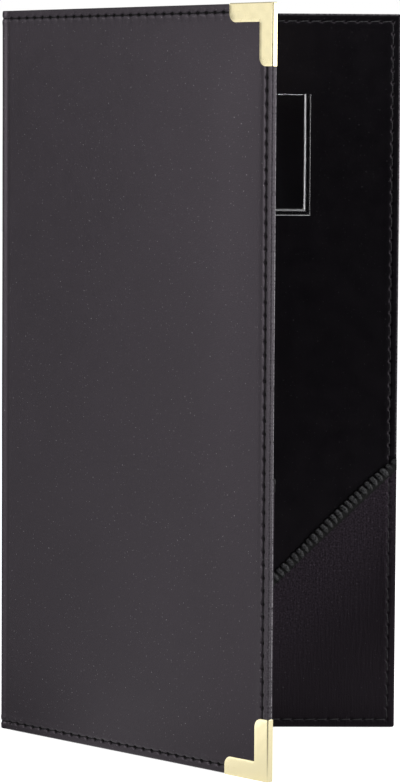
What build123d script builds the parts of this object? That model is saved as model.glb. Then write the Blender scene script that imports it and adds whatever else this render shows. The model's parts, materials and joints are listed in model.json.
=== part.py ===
from build123d import *
from dataclasses import dataclass
from math import ceil, cos, radians, sin, tan
import os

# Guest check presenter: two padded leatherette covers joined by a soft spine with a crease
# along each side. It stands upright on its bottom edge, half open, with the back cover along +X,
# its outer face towards +Y, and the front cover swung out towards -Y. All sizes are in mm.

# Covers
cover_height = 254.0
cover_width = 137.5  # from the crease to the free edge
cover_corner_radius = 1.5
opening_angle = 49.0  # between the two covers as the presenter stands

# Layers of a cover, from its outer face inwards
skin_thickness = 0.4
padding_thickness = 0.3
board_thickness = 0.8
lining_thickness = 0.3
skin_edge_radius = 0.35

# Soft spine
board_gap = 4.5  # from a crease to the edge of the board
crease_clearance = 0.25  # between the spine and the cover's sheet at a crease
closing_clearance = 0.4  # between the two ribbed bindings when the covers are shut

# Stitching, sunk in a shallow groove near the edge
stitch_inset = 2.7
stitch_pitch = 4.25
stitch_gap = 0.95  # hidden stretch between two stitches
thread_width = 0.4
thread_thickness = 0.15
thread_side_gap = 0.15  # between the thread and the groove's side
thread_recess = 0.05  # from the surface down to the thread

# Corner pockets, cut off along a sloping edge
pocket_thickness = 0.4
pocket_slope = 43.7  # degrees from the bottom edge
back_pocket_height = 97.3  # at the free edge
front_pocket_height = 100.1

# Gathered binding over the sloping edge, with an elastic inside
binding_width = 3.8
binding_lip = 0.5  # folded round the pocket's raw edge
binding_wall = 0.25  # over the elastic
rib_pitch = 2.45
rib_rise = 0.3
elastic_thickness = 0.4
elastic_margin = 0.4  # between the elastic and the binding's fold and seam

# Clear card pocket, welded to the back cover's lining on three sides
card_pocket_width = 92.0
card_pocket_height = 43.0
card_pocket_edge_gap = 31.6  # to the cover's free edge
card_pocket_top_gap = 28.3  # to the cover's top edge
weld_width = 2.0
film_thickness = 0.25
card_slot = 0.3  # room for a card behind the film

# Folded metal corners on the front cover
cap_leg = 20.7
cap_arm = 6.3
cap_sheet = 0.25
cap_tip_radius = 3.0

# Sizes that follow
stack = skin_thickness + padding_thickness + board_thickness + lining_thickness
sheet = skin_thickness + lining_thickness  # where no board lies between
sheet_start = sheet / 2 + crease_clearance  # from a crease to the cover's sheet
stitch_length = stitch_pitch - stitch_gap
groove_width = thread_width + 2 * thread_side_gap
groove_depth = thread_thickness + thread_recess
elastic_inset = binding_lip + elastic_margin
elastic_width = binding_width - elastic_inset - elastic_margin
binding_valley = pocket_thickness + elastic_thickness + binding_wall
binding_height = binding_valley + rib_rise
closed_gap = 2 * binding_height + closing_clearance  # between the linings
spine_width = 2 * stack - sheet + closed_gap  # from crease to crease
base_height = cap_sheet  # the bottom metal corner stands proud of the covers by its sheet

slope = radians(pocket_slope)
half_opening = radians(opening_angle / 2)

# Seen from above, the spine leaves the back crease square to the line that halves the opening.
# Each crease runs up the middle of the sheet.
back_run = Vector(1, 0, 0)
spine_run = Vector(-sin(half_opening), -cos(half_opening), 0)
front_run = Vector(cos(2 * half_opening), -sin(2 * half_opening), 0)

# The origin is the middle of the whole outline's footprint.
left_reach = spine_width * sin(half_opening) + sheet / 2
front_reach = (
    spine_width * cos(half_opening)
    + (cover_width + cap_sheet) * sin(2 * half_opening)
    + (sheet / 2 + cap_sheet) * cos(2 * half_opening)
)
back_crease = Vector((left_reach - cover_width) / 2, (front_reach - sheet / 2) / 2, base_height)
front_crease = back_crease + spine_run * spine_width


@dataclass(frozen=True)
class Panel:
    """A flat stretch of the presenter. Its face plane lies on the outer face, with x running
    from the crease and y up. Inward is 1 where the plane's normal points to the inside."""

    name: str
    face: Plane
    inward: int
    pocket_height: float = 0.0

    def plane(self, depth):
        """The sketch plane at a depth below the outer face."""
        return self.face.offset(self.inward * depth)

    def point(self, x, y, depth):
        return self.face.from_local_coords((x, y, self.inward * depth))

    def direction(self, x, y):
        return self.point(x, y, 0) - self.point(0, 0, 0)


def outer_face(crease, run, inward):
    """The plane of an outer face, half a sheet outside the crease that it starts from."""
    normal = run.cross(Vector(0, 0, 1))
    return Plane(origin=crease - normal * (inward * sheet / 2), x_dir=run, z_dir=normal)


back_cover = Panel("back", outer_face(back_crease, back_run, 1), 1, back_pocket_height)
spine = Panel("spine", outer_face(back_crease, spine_run, -1), -1)
front_cover = Panel("front", outer_face(front_crease, front_run, -1), -1, front_pocket_height)


def keep(piece, name):
    """Name a finished piece and write it to its own file."""
    piece.part.label = name
    export_step(piece.part, f"parts/{name}.step")


def cover_outline(plane, start, margin=0.0):
    """A cover's outline from x = start to the free edge, drawn in by a margin."""
    with BuildSketch(plane) as outline:
        with Locations((start, margin)):
            Rectangle(
                cover_width - margin - start,
                cover_height - 2 * margin,
                align=(Align.MIN, Align.MIN),
            )
        free_corners = outline.vertices().group_by(Axis.X)[-1]
        fillet(free_corners, cover_corner_radius - margin)
    return outline.sketch


def upright_strip(plane, start, end):
    """A full-height band between two distances from the crease."""
    with BuildSketch(plane) as strip:
        with Locations((start, 0)):
            Rectangle(end - start, cover_height, align=(Align.MIN, Align.MIN))
    return strip.sketch


def seam_groove(plane):
    """The U-shaped band of the seam: along the bottom, up the free edge and back along the top."""
    outer_inset = stitch_inset - groove_width / 2
    inner_inset = stitch_inset + groove_width / 2
    with BuildSketch(plane) as groove:
        for inset, mode in ((outer_inset, Mode.ADD), (inner_inset, Mode.SUBTRACT)):
            with Locations((0, inset)):
                Rectangle(
                    cover_width - inset,
                    cover_height - 2 * inset,
                    align=(Align.MIN, Align.MIN),
                    mode=mode,
                )
    return groove.sketch


def level_grooves(plane, start, end):
    """The seam's two level bands, near the bottom and the top, from one x to another."""
    with BuildSketch(plane) as grooves:
        for y in (stitch_inset, cover_height - stitch_inset):
            with Locations((start, y)):
                Rectangle(end - start, groove_width, align=(Align.MIN, Align.CENTER))
    return grooves.sketch


def spaced(start, end):
    """The middles of the stitches along a straight run of seam."""
    count = max(1, round((end - start) / stitch_pitch))
    step = (end - start) / count
    return [start + (index + 0.5) * step for index in range(count)]


def level_stitches(start, end):
    """The stitches near the bottom and the top, each as its middle and its angle."""
    rows = (stitch_inset, cover_height - stitch_inset)
    return [(x, y, 0) for y in rows for x in spaced(start, end)]


def crease_stitches():
    """The stitches between a crease and the edge of the board."""
    return level_stitches(sheet_start, board_gap - lining_thickness)


def board_stitches():
    """The stitches round the board: near its bottom, its top and the free edge."""
    edge = cover_width - stitch_inset
    upright = [(edge, y, 90) for y in spaced(stitch_inset, cover_height - stitch_inset)]
    return level_stitches(board_gap, edge) + upright


def thread_marks(plane, stitches):
    """The stitches' outlines on the floor of the groove."""
    places = [Location((x, y, 0), (0, 0, angle)) for x, y, angle in stitches]
    with BuildSketch(plane) as marks:
        with Locations(*places):
            SlotOverall(stitch_length, thread_width)
    return marks.sketch


def into_pocket(panel, x, y):
    """How far a point lies inside the pocket from its sloping edge; negative is outside."""
    return (x - cover_width) * sin(slope) - (y - panel.pocket_height) * cos(slope)


def make_skin(panel):
    """Leatherette: the outer sheet, turned round the board at the top, bottom and free edge."""
    with BuildPart() as skin:
        extrude(
            cover_outline(panel.plane(0), sheet_start),
            amount=panel.inward * skin_thickness,
        )
        tray_depth = stack - lining_thickness - skin_thickness
        extrude(
            cover_outline(panel.plane(skin_thickness), board_gap),
            amount=panel.inward * tray_depth,
        )
        extrude(
            cover_outline(panel.plane(skin_thickness), board_gap, skin_thickness),
            amount=panel.inward * tray_depth,
            mode=Mode.SUBTRACT,
        )
        inwards = Axis(panel.face.origin, panel.face.z_dir * panel.inward)
        along = Axis(panel.face.origin, panel.face.x_dir)
        rim_of_face = skin.faces().sort_by(inwards)[0].edges()
        fillet(rim_of_face.sort_by(along)[1:], skin_edge_radius)
        extrude(
            seam_groove(panel.plane(0)),
            amount=panel.inward * groove_depth,
            mode=Mode.SUBTRACT,
        )
    keep(skin, f"{panel.name}_skin")


def make_filling(panel, name, depth, thickness):
    """A flat sheet that fills the skin's tray: the board, or the padding over it."""
    with BuildPart() as filling:
        extrude(
            cover_outline(panel.plane(depth), board_gap, skin_thickness),
            amount=panel.inward * thickness,
        )
    keep(filling, f"{panel.name}_{name}")


def make_lining(panel):
    """Lining: flat over the board, then down the board's edge and along the sheet to the crease."""
    with BuildPart() as lining:
        extrude(
            cover_outline(panel.plane(stack - lining_thickness), board_gap),
            amount=panel.inward * lining_thickness,
        )
        extrude(
            upright_strip(panel.plane(skin_thickness), board_gap - lining_thickness, board_gap),
            amount=panel.inward * (stack - skin_thickness),
        )
        extrude(
            upright_strip(panel.plane(skin_thickness), sheet_start, board_gap),
            amount=panel.inward * lining_thickness,
        )
        extrude(
            seam_groove(panel.plane(stack - groove_depth)),
            amount=panel.inward * groove_depth,
            mode=Mode.SUBTRACT,
        )
        extrude(
            level_grooves(
                panel.plane(sheet - groove_depth),
                sheet_start,
                board_gap - lining_thickness,
            ),
            amount=panel.inward * groove_depth,
            mode=Mode.SUBTRACT,
        )
    keep(lining, f"{panel.name}_lining")


def make_needle_thread(panel, stitches):
    """The stitches that show on the outer face."""
    with BuildPart() as thread:
        extrude(
            thread_marks(panel.plane(groove_depth), stitches),
            amount=-panel.inward * thread_thickness,
        )
    keep(thread, f"{panel.name}_needle_thread")


def make_bobbin_thread(panel, surfaces):
    """The stitches that show inside, in the groove of each surface that carries some."""
    with BuildPart() as thread:
        for surface, stitches in surfaces:
            extrude(
                thread_marks(panel.plane(surface - groove_depth), stitches),
                amount=panel.inward * thread_thickness,
            )
    keep(thread, f"{panel.name}_bobbin_thread")


def cover_surfaces(panel):
    """The surfaces inside a cover, as depths, each with its stitches: the lining by the crease
    and over the board, and the pocket where it is sewn in. No stitch shows where the seam
    runs under the ribbed binding."""
    reach = (stitch_length + thread_width) / 2
    on_lining = []
    on_pocket = []
    for x, y, angle in board_stitches():
        depth_in_pocket = into_pocket(panel, x, y)
        if depth_in_pocket < -reach:
            on_lining.append((x, y, angle))
        if depth_in_pocket > binding_width + reach:
            on_pocket.append((x, y, angle))
    return (sheet, crease_stitches()), (stack, on_lining), (stack + pocket_thickness, on_pocket)


def make_pocket(panel):
    """Corner pocket: a triangle of leatherette on the lining, sewn in along its square sides."""
    lip_up = binding_lip / cos(slope)
    lip_across = binding_lip / sin(slope)
    foot = cover_width - panel.pocket_height / tan(slope)
    with BuildPart() as pocket:
        with BuildSketch(panel.plane(stack)) as outline:
            with BuildLine():
                Polyline(
                    (foot + lip_across, 0),
                    (cover_width, 0),
                    (cover_width, panel.pocket_height - lip_up),
                    close=True,
                )
            make_face()
            square_corner = outline.vertices().group_by(Axis.X)[-1].sort_by(Axis.Y)[0]
            fillet(square_corner, cover_corner_radius)
        extrude(amount=panel.inward * pocket_thickness)
        extrude(
            seam_groove(panel.plane(stack + pocket_thickness - groove_depth)),
            amount=panel.inward * groove_depth,
            mode=Mode.SUBTRACT,
        )
    keep(pocket, f"{panel.name}_pocket")


def binding_plane(panel, into):
    """The plane across the pocket's sloping edge, at a distance into the pocket: x runs along
    the slope from its middle, y stands up from the lining, and the normal points into the pocket."""
    middle_x = cover_width - panel.pocket_height / tan(slope) / 2
    middle_y = panel.pocket_height / 2
    origin = panel.point(middle_x + into * sin(slope), middle_y - into * cos(slope), stack)
    return Plane(
        origin=origin,
        x_dir=panel.direction(cos(slope), sin(slope)) * panel.inward,
        z_dir=panel.direction(sin(slope), -cos(slope)),
    )


def sloping_length(panel):
    """A length that reaches past both ends of the slope, in whole ribs."""
    edge_length = panel.pocket_height / sin(slope)
    return ceil((edge_length + 2 * binding_width) / rib_pitch) * rib_pitch


def make_binding(panel):
    """Binding: leatherette folded over the pocket's raw edge and gathered into round ribs."""
    length = sloping_length(panel)
    rib_count = round(length / rib_pitch)
    with BuildPart() as binding:
        with BuildSketch(binding_plane(panel, 0)):
            with BuildLine():
                Polyline(
                    (-length / 2, binding_valley),
                    (-length / 2, 0),
                    (length / 2, 0),
                    (length / 2, binding_valley),
                )
                for index in range(rib_count):
                    start = length / 2 - index * rib_pitch
                    ThreePointArc(
                        (start, binding_valley),
                        (start - rib_pitch / 2, binding_height),
                        (start - rib_pitch, binding_valley),
                    )
            make_face()
        extrude(amount=binding_width)
        # The pocket's edge runs in under the binding, behind the lip.
        with BuildSketch(binding_plane(panel, binding_lip)):
            with Locations((0, pocket_thickness / 2)):
                Rectangle(length, pocket_thickness)
        extrude(amount=binding_width - binding_lip, mode=Mode.SUBTRACT)
        with BuildSketch(binding_plane(panel, elastic_inset)):
            with Locations((0, pocket_thickness + elastic_thickness / 2)):
                Rectangle(length, elastic_thickness)
        extrude(amount=elastic_width, mode=Mode.SUBTRACT)
        extrude(
            cover_outline(panel.plane(stack), 0),
            amount=panel.inward * binding_height,
            mode=Mode.INTERSECT,
        )
    keep(binding, f"{panel.name}_pocket_binding")


def make_elastic(panel):
    """Flat elastic that lies inside the binding, on the pocket's edge."""
    with BuildPart() as elastic:
        with BuildSketch(binding_plane(panel, elastic_inset)):
            with Locations((0, pocket_thickness + elastic_thickness / 2)):
                Rectangle(sloping_length(panel), elastic_thickness)
        extrude(amount=elastic_width)
        extrude(
            cover_outline(panel.plane(stack + pocket_thickness), 0),
            amount=panel.inward * elastic_thickness,
            mode=Mode.INTERSECT,
        )
    keep(elastic, f"{panel.name}_pocket_elastic")


def make_card_pocket(panel):
    """Clear film with a flat welded rim on three sides, standing off the lining between them."""
    left = cover_width - card_pocket_edge_gap - card_pocket_width
    bottom = cover_height - card_pocket_top_gap - card_pocket_height
    window_width = card_pocket_width - 2 * weld_width
    window_height = card_pocket_height - weld_width
    with BuildPart() as card_pocket:
        with BuildSketch(panel.plane(stack)):
            with Locations((left, bottom)):
                Rectangle(card_pocket_width, card_pocket_height, align=(Align.MIN, Align.MIN))
        extrude(amount=panel.inward * film_thickness)
        with BuildSketch(panel.plane(stack)):
            with Locations((left + weld_width, bottom + weld_width)):
                Rectangle(window_width, window_height, align=(Align.MIN, Align.MIN))
        extrude(amount=panel.inward * (card_slot + film_thickness))
        with BuildSketch(panel.plane(stack)):
            with Locations((left + weld_width + film_thickness, bottom + weld_width + film_thickness)):
                Rectangle(
                    window_width - 2 * film_thickness,
                    window_height - film_thickness,
                    align=(Align.MIN, Align.MIN),
                )
        extrude(amount=panel.inward * card_slot, mode=Mode.SUBTRACT)
    keep(card_pocket, "card_pocket")


def make_corner_cap(panel, name, at_top, clasped):
    """Metal corner: an L on each face, joined by walls round the two edges. Its legs' tips are
    rounded on their inner side. Clasped is the thickness that it is folded over."""
    edge = cover_height if at_top else 0
    upward = 1 if at_top else -1
    outer_x = cover_width + cap_sheet
    outer_y = edge + upward * cap_sheet
    tips = (
        (outer_x - cap_arm, outer_y - upward * cap_leg),
        (outer_x - cap_leg, outer_y - upward * cap_arm),
    )
    with BuildPart() as cap:
        with BuildSketch(panel.plane(-cap_sheet)) as outline:
            with BuildLine():
                Polyline(
                    (outer_x, outer_y),
                    (outer_x, outer_y - upward * cap_leg),
                    tips[0],
                    (outer_x - cap_arm, outer_y - upward * cap_arm),
                    tips[1],
                    (outer_x - cap_leg, outer_y),
                    close=True,
                )
            make_face()
            tip_corners = [outline.vertices().sort_by_distance(tip)[0] for tip in tips]
            fillet(tip_corners, cap_tip_radius)
        extrude(amount=panel.inward * (clasped + 2 * cap_sheet))
        with BuildSketch(panel.plane(0)):
            Rectangle(cover_width, cover_height, align=(Align.MIN, Align.MIN))
        extrude(amount=panel.inward * clasped, mode=Mode.SUBTRACT)
    keep(cap, name)


def spine_section(from_depth, to_depth):
    """The spine's cross-section between two depths: its sheet ends in a half round on each
    crease, so it turns inside the clearance of the cover's sheet."""
    section = Plane(
        origin=(back_crease + front_crease) / 2,
        x_dir=spine_run,
        z_dir=(0, 0, 1),
    )
    with BuildSketch(section) as profile:
        SlotCenterToCenter(spine_width, sheet)
        with Locations((0, from_depth - sheet / 2)):
            Rectangle(
                spine_width + sheet,
                to_depth - from_depth,
                align=(Align.CENTER, Align.MIN),
                mode=Mode.INTERSECT,
            )
    return profile.sketch


def make_spine_layer(name, from_depth, to_depth, groove_start):
    """One sheet of the spine, with the seam's groove pressed into the face that shows."""
    with BuildPart() as layer:
        extrude(spine_section(from_depth, to_depth), amount=cover_height)
        extrude(
            level_grooves(spine.plane(groove_start), -sheet / 2, spine_width + sheet / 2),
            amount=spine.inward * groove_depth,
            mode=Mode.SUBTRACT,
        )
    keep(layer, f"spine_{name}")


os.makedirs("parts", exist_ok=True)

for cover in (back_cover, front_cover):
    make_skin(cover)
    make_filling(cover, "padding", skin_thickness, padding_thickness)
    make_filling(cover, "board", skin_thickness + padding_thickness, board_thickness)
    make_lining(cover)
    make_needle_thread(cover, crease_stitches() + board_stitches())
    make_bobbin_thread(cover, cover_surfaces(cover))
    make_pocket(cover)
    make_binding(cover)
    make_elastic(cover)

make_card_pocket(back_cover)
make_corner_cap(front_cover, "top_corner_cap", True, stack)
make_corner_cap(front_cover, "bottom_corner_cap", False, stack + pocket_thickness)

make_spine_layer("skin", 0, skin_thickness, 0)
make_spine_layer("lining", skin_thickness, sheet, sheet - groove_depth)
spine_stitches = level_stitches(0, spine_width)
make_needle_thread(spine, spine_stitches)
make_bobbin_thread(spine, [(sheet, spine_stitches)])
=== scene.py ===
import json
from math import atan2, ceil, cos, pi, radians, sin, tan

import bmesh
import bpy
import numpy as np
from mathutils import Matrix, Vector
from mathutils.geometry import delaunay_2d_cdt


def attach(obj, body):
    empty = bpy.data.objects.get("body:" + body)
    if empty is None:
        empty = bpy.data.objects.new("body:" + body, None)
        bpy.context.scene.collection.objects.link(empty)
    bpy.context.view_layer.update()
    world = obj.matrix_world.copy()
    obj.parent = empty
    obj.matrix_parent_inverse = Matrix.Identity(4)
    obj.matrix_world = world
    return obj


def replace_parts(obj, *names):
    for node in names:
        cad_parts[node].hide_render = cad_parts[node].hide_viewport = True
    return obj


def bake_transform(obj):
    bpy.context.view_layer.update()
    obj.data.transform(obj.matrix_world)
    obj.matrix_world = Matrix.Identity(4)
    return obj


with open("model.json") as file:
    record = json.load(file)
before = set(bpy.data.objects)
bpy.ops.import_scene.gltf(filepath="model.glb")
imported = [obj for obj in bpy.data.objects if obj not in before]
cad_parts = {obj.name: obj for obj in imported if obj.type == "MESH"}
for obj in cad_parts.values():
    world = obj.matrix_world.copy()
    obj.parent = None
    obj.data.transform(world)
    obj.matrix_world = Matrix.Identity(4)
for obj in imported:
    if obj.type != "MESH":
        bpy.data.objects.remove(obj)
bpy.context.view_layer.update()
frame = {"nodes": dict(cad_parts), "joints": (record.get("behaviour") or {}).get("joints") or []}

scene = bpy.context.scene

# The looks of a guest check presenter: two padded leatherette covers on a soft spine, sewn
# round the edge, with corner pockets, a clear card pocket and two metal corners.
# Lengths are in millimetres and become metres when a piece is placed.

# Covers
WIDTH = 137.5
HEIGHT = 254.0
BASE = 0.25  # the covers' lower edge above the floor
CORNER_RADIUS = 0.6
SKIN = 0.4
LINING = 0.3
STACK = 1.8  # all layers together
SHEET = SKIN + LINING
BOARD_GAP = 4.5  # from a crease to its board
BEND_REACH = 2.2  # how far from a crease the sheet still bends
BEND_ROUNDS = 60
SKIN_FOLD = 0.5
LINING_FOLD = 0.12

# Seam
STITCH_INSET = 2.7
STITCH_PITCH = 4.25
THREAD_RADIUS = 0.17
THREAD_LEVEL = {-1: -0.16, 1: -0.07}  # of a thread's middle over the sheet, outside and inside
THREAD_DIVE = 0.42
THREAD_OVERLAP = 0.15  # how far the stitch on the middle of the spine runs into its other half
SEAM_DEPTH, HOLE_DEPTH = 0.2, 0.5
LINING_SINK, POCKET_SINK = 0.4, 0.55  # how deep the seam sinks in, as a share of the outside's
# On both sides of the seam: height at a hole, what comes on top between holes, distance from the
# edge, and width
SEAM_PUFFS = ((0.055, 0.02, 1.45, 0.6), (0.085, 0.05, 4.0, 0.85))

# Mesh lines in a stitch, as shares of it, and along an edge, as distances from it
STITCH_STEPS = np.array([0, 0.055, 0.11, 0.19, 0.34, 0.5, 0.66, 0.81, 0.89, 0.945])
SEAM_BAND = 6.0
STRIP_INSETS = [0.8, 1.15, 1.55, 1.9, 2.15, 2.35, 2.52, 2.7]
STRIP_INSETS += [2.88, 3.05, 3.25, 3.55, 3.95, 4.5, 5.2, SEAM_BAND]
CREASE_COLUMNS = 26
COARSE_STEP = 4.3
LINE_GAP = 0.15  # the least distance between mesh lines
UV_UNIT = 100.0

# Corner pockets and their gathered binding
POCKET_SHEET = 0.4
POCKET_FOLD = 0.14
POCKET_GAP = 0.02  # between the sheet and the lining
POCKET_HEIGHT = {"back": 97.3, "front": 100.1}
POCKET_SLOPE = radians(43.7)
POCKET_LIFT = 0.22
POCKET_BOW = 0.95  # how far the slack sheet bows out along the upper part of its edge
POCKET_STEP = 2.6
BINDING_WIDTH = 3.8
BINDING_HEIGHT = 1.35
BINDING_LIP = 0.5
BINDING_FOOT = 0.03
BINDING_MARGIN = 0.12  # from the cover's edges to the binding's ends
RIB_PITCH = 2.45
RIB_RISE = 1.0
RIB_CURVE = 0.4
RIB_LEAN = -0.05
RIB_STEPS = (0, 0.05, 0.11, 0.18, 0.3, 0.5, 0.7, 0.82, 0.89, 0.95)  # mesh lines in a rib
RIB_PROFILE, RIB_UNDERSIDE = 18, 4  # points across it

# Card pocket
CARD_WIDTH = 92.0
CARD_HEIGHT = 43.0
CARD_LEFT = WIDTH - 31.6 - CARD_WIDTH
CARD_BOTTOM = HEIGHT - 28.3 - CARD_HEIGHT
WELD_WIDTH = 2.0
FILM = 0.22
FILM_MARGIN = 0.12  # from the pocket's outline to the film's outermost mesh lines
FILM_BULGE = 0.1  # how far the cut edge bulges out from there
FILM_STEP = 1.5
# Mesh lines over the weld and by the open top, as distances from the film's edges
WELD_LINES = [FILM_MARGIN, 0.2, 0.3, 0.45, 0.7, 1.1, 1.45, 1.65, 1.8, 1.92]
WELD_LINES += [2.04, 2.16, 2.28, 2.4, 2.55, 2.75, 3.1, 3.7, 4.6]
LIP_LINES = (1.6, 1.0, 0.7, 0.5, 0.4, 0.34, 0.28, 0.22, 0.17, FILM_MARGIN)

# Metal corners
CAP_LEG = 20.7
CAP_ARM = 6.3
CAP_SHEET = 0.25
CAP_FOLD = 0.36
CAP_TIP_RADIUS = 3.0
CAP_CORNER = 0.55
CAP_BEVEL = 0.12
CAP_STEP = 0.6
CAP_EASED = ((0.0, 0.0), (0.035, 0.01), (0.07, 0.04), (0.1, 0.07))  # the fold's start

# Seeds of the random draws; to most a cover adds its name's length, so that the two differ
OUTER_SEED, LINING_SEED, POCKET_SEED, STITCH_SEED, BINDING_SEED = 11, 31, 71, 50, 90

RISE, RUN, STEEP = sin(POCKET_SLOPE), cos(POCKET_SLOPE), tan(POCKET_SLOPE)


# ---- the panels

def smooth(value, start, end):
    """0 before start, 1 after end, and an easy rise between."""
    t = np.clip((value - start) / (end - start), 0, 1)
    return t * t * (3 - 2 * t)


def bump(value, middle, width):
    """A bell of height 1 round a middle."""
    return np.exp(-(((value - middle) / width) ** 2))


def turned(points, angle):
    """Plan points turned about the origin."""
    c, s = np.cos(angle), np.sin(angle)
    x, y = points.T
    return np.column_stack((x * c - y * s, x * s + y * c))


def pocket_bow(down):
    """How far a pocket's edge bows out, by the distance down it from the free edge."""
    return POCKET_BOW * smooth(down, -2, 14) * (1 - smooth(down, 26, 62))


class Panel:
    """A cover with its half of the soft spine, laid out flat: x runs from the crease to the free
    edge, and below zero on to the middle of the spine; y is up and depth is inwards."""

    def __init__(self, name, crease, angle, side):
        self.name = name
        self.body = f"{name}_cover"
        self.crease = crease
        self.run = np.array([cos(angle), -sin(angle)])
        self.outward = side * np.array([sin(angle), cos(angle)])
        back, onward = -self.run, side * spine_run
        self.bend = atan2(back[0] * onward[1] - back[1] * onward[0], back @ onward)
        across = onward - self.run
        self.across = across / np.linalg.norm(across)
        self.pocket_height = POCKET_HEIGHT[name]

    def place(self, points):
        """Laid-out points (x, y, depth) in the shared frame, bent round the crease, in metres."""
        points = np.asarray(points, float)
        flat = np.outer(points[:, 0], self.run)
        flat += np.outer(SHEET / 2 - points[:, 2], self.outward)
        weight = np.full(len(points), 0.5)
        for _ in range(BEND_ROUNDS):
            reach = turned(flat, weight * self.bend) @ self.across
            weight = (weight + smooth(reach, -BEND_REACH, BEND_REACH)) / 2
        plan = self.crease + turned(flat, weight * self.bend)
        return np.column_stack((plan, points[:, 1] + BASE)) / 1000

    def blend(self, piece):
        """Bakes in the transform of a piece that crosses the crease; the bend's two ends are worked
        out but not used.
        """
        start, end = (
            (*((self.crease + way * BEND_REACH * self.across) / 1000), BASE / 1000)
            for way in (-1, 1)
        )
        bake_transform(piece)
        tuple(start)
        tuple(end)

    def into_pocket(self, x, y):
        """How far a point lies inside the pocket's sloping edge."""
        down = (WIDTH - x) * RUN + (self.pocket_height - y) * RISE
        return (x - WIDTH) * RISE - (y - self.pocket_height) * RUN + pocket_bow(down)


creases = [np.array(joint["pos_m"][:2]) * 1000 for joint in frame["joints"]]
spine_width = float(np.linalg.norm(creases[1] - creases[0]))
spine_run = (creases[1] - creases[0]) / spine_width
opening = 2 * atan2(-spine_run[0], -spine_run[1])
back = Panel("back", creases[0], 0.0, 1)
front = Panel("front", creases[1], opening, -1)
PANELS = (back, front)
SPINE_MIDDLE = -spine_width / 2


# ---- the seam

def spaced(start, end, pitch):
    """Evenly spaced places from start to end, about a pitch apart."""
    return np.linspace(start, end, round((end - start) / pitch) + 1)


BOARD_HOLES = spaced(BOARD_GAP, WIDTH - STITCH_INSET, STITCH_PITCH)
CREASE_HOLE = -0.45
LEVEL_HOLES = np.concatenate(([2 * SPINE_MIDDLE - CREASE_HOLE, CREASE_HOLE], BOARD_HOLES))
SIDE_HOLES = spaced(STITCH_INSET, HEIGHT - STITCH_INSET, STITCH_PITCH)


def inside_edge(x, y):
    """How far a point lies inside the nearest sewn edge."""
    return np.minimum(WIDTH - x, np.minimum(y, HEIGHT - y))


def seam_relief(x, y, puff=1.0, sink=1.0):
    """How far the surface stands out along the seam: puffed on both sides of a groove, with a
    pit at each needle hole. It is shallow on the soft spine."""
    side = WIDTH - x
    level = np.minimum(y, HEIGHT - y)
    edge = np.minimum(side, level)
    to_hole = np.where(
        side < level,
        np.abs(y[:, None] - SIDE_HOLES).min(1),
        np.abs(x[:, None] - LEVEL_HOLES).min(1),
    )
    off_seam = edge - STITCH_INSET
    pinch = bump(to_hole, 0, 0.8)
    sink = sink * (0.12 + 0.88 * smooth(x, -1.5, 2.5))
    relief = np.zeros(len(x))
    for height, more, middle, width in SEAM_PUFFS:
        relief += puff * (height + more * (1 - pinch)) * bump(edge, middle, width)
    relief -= sink * SEAM_DEPTH * bump(off_seam, 0, 0.34)
    off_hole = np.hypot(off_seam, to_hole * 0.75)
    relief -= sink * HOLE_DEPTH * (1 - smooth(off_hole, 0.35, 0.75))
    return relief


def waves(x, y, amplitude, seed):
    """Slow seeded unevenness of a glued sheet."""
    draw = np.random.default_rng(seed)
    total = np.zeros(len(x))
    lengths = (110, 75, 48, 31)
    for length in lengths:
        angle, phase = draw.uniform(0, 2 * pi, 2)
        along = x * cos(angle) + y * sin(angle)
        total += length * np.sin(2 * pi * along / length + phase)
    return amplitude * total / sum(lengths)


def sheet_sag(x):
    """How far the sheet dips inwards beside a crease and swells in the middle of the spine."""
    return 0.09 * bump(x, 2.7, 1.2) - 0.12 * bump(x, SPINE_MIDDLE, 1.5)


def level_sag(x):
    """The same on the sides that the board keeps level: it ends where the board starts."""
    return sheet_sag(x) * smooth(-x, -4.4, -3.4)


def dome(x, y):
    """How far a padded cover swells outwards in its middle."""
    across = np.clip((x - BOARD_GAP) / (WIDTH - BOARD_GAP), 0, 1)
    return 0.8 * np.sin(pi * across) * smooth(inside_edge(x, y), 2, 30)


def lining_bed(x):
    """The depth of what the lining lies on: the sheet by the crease, and then the board."""
    return SKIN + (STACK - LINING - SKIN) * smooth(x, 3.2, 4.42)


def lining_surface(x, y):
    """The depth of the lining's shown side."""
    return lining_bed(x) + LINING + sheet_sag(x)


# ---- meshes

def between_rows(rows):
    """Four-sided faces between rows of numbered points."""
    return [
        [one[k], one[k + 1], two[k + 1], two[k]]
        for one, two in zip(rows, rows[1:])
        for k in range(len(one) - 1)
    ]


def tube_faces(rings, sides):
    """The faces of a tube of rings, closed at both ends."""
    rows = [[*range(k * sides, (k + 1) * sides), k * sides] for k in range(rings)]
    return between_rows(rows) + [rows[0][:-1], rows[-1][:-1]]


def triangles(outline, inside):
    """Triangles within an outline, through the points inside it: their points, their faces, and
    which given points each point was made from."""
    places = [Vector(p) for p in outline + inside]
    made = delaunay_2d_cdt(places, [], [list(range(len(outline)))], 1, 1e-5)
    return made[0], made[2], made[3]


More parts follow.
